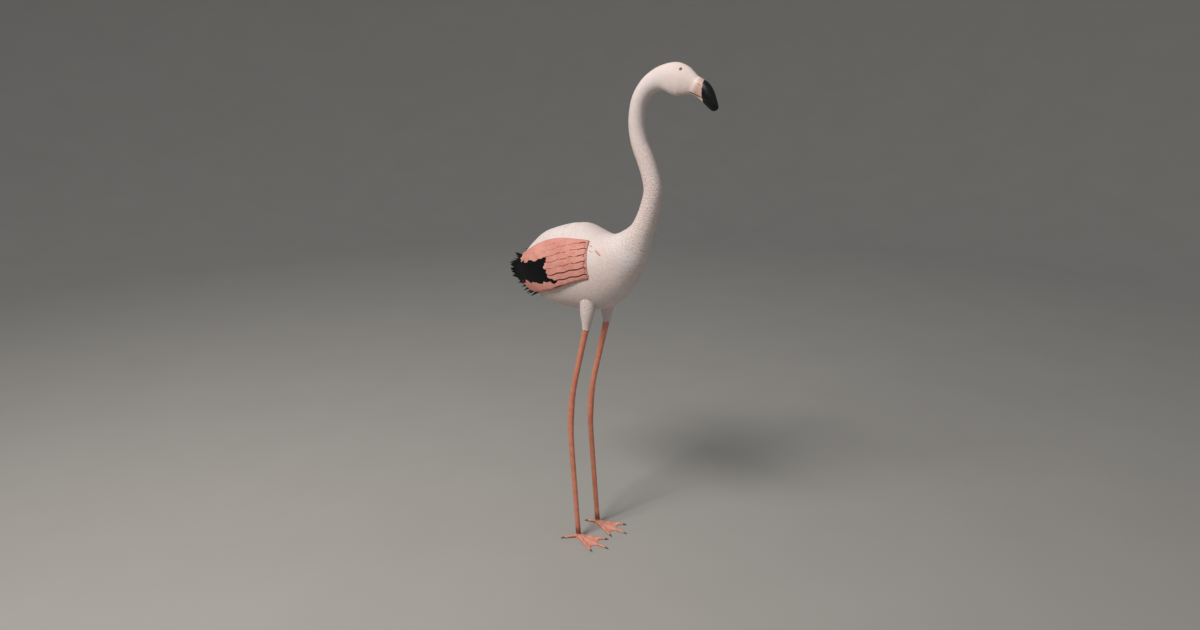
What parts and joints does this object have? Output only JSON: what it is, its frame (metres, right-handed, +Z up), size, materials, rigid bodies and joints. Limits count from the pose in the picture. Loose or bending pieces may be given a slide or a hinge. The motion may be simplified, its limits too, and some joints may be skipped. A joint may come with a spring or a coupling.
{
  "type": "greater flamingo model",
  "caption": "Life-size still model of a standing adult greater flamingo, neck raised in an S, wings folded, both feet flat on the ground.",
  "frame": {"origin": "on the floor under the middle of the bird's bounding box, between its feet's and its bill's reach", "axes": "+Z up, the bird faces -Y, its left side is at +X; mirror symmetric about X = 0"},
  "size_m": [0.2028, 0.6759, 1.4206],
  "materials": {
    "white_plumage": "soft matt feathers, very pale pink",
    "pink_plumage": "soft matt feathers, salmon pink",
    "black_plumage": "smooth black feathers with a slight sheen",
    "bill": "smooth skin and horn, pink at the base and black beyond the bend",
    "eye": "wet, pale yellow iris round a black pupil",
    "leg_skin": "scaly skin, salmon pink, slightly waxy",
    "claw_horn": "dark smooth horn"
  },
  "bodies": {
    "root": {"trunk": "white_plumage", "neck_lower": "white_plumage", "neck_middle": "white_plumage", "neck_upper": "white_plumage", "head": "white_plumage", "tail": "white_plumage", "thigh_left": "white_plumage", "thigh_right": "white_plumage", "wing_left": "pink_plumage", "wing_right": "pink_plumage", "tertials_left": "pink_plumage", "tertials_right": "pink_plumage", "flight_feathers_left": "black_plumage", "flight_feathers_right": "black_plumage", "bill_upper": "bill", "bill_lower": "bill", "eye_left": "eye", "eye_right": "eye", "shank_left": "leg_skin", "shank_right": "leg_skin", "hock_left": "leg_skin", "hock_right": "leg_skin", "tarsus_left": "leg_skin", "tarsus_right": "leg_skin", "foot_left": "leg_skin", "foot_right": "leg_skin", "hallux_left": "leg_skin", "hallux_right": "leg_skin", "claw_inner_left": "claw_horn", "claw_inner_right": "claw_horn", "claw_middle_left": "claw_horn", "claw_middle_right": "claw_horn", "claw_outer_left": "claw_horn", "claw_outer_right": "claw_horn", "claw_hallux_left": "claw_horn", "claw_hallux_right": "claw_horn"}
  },
  "joints": []
}
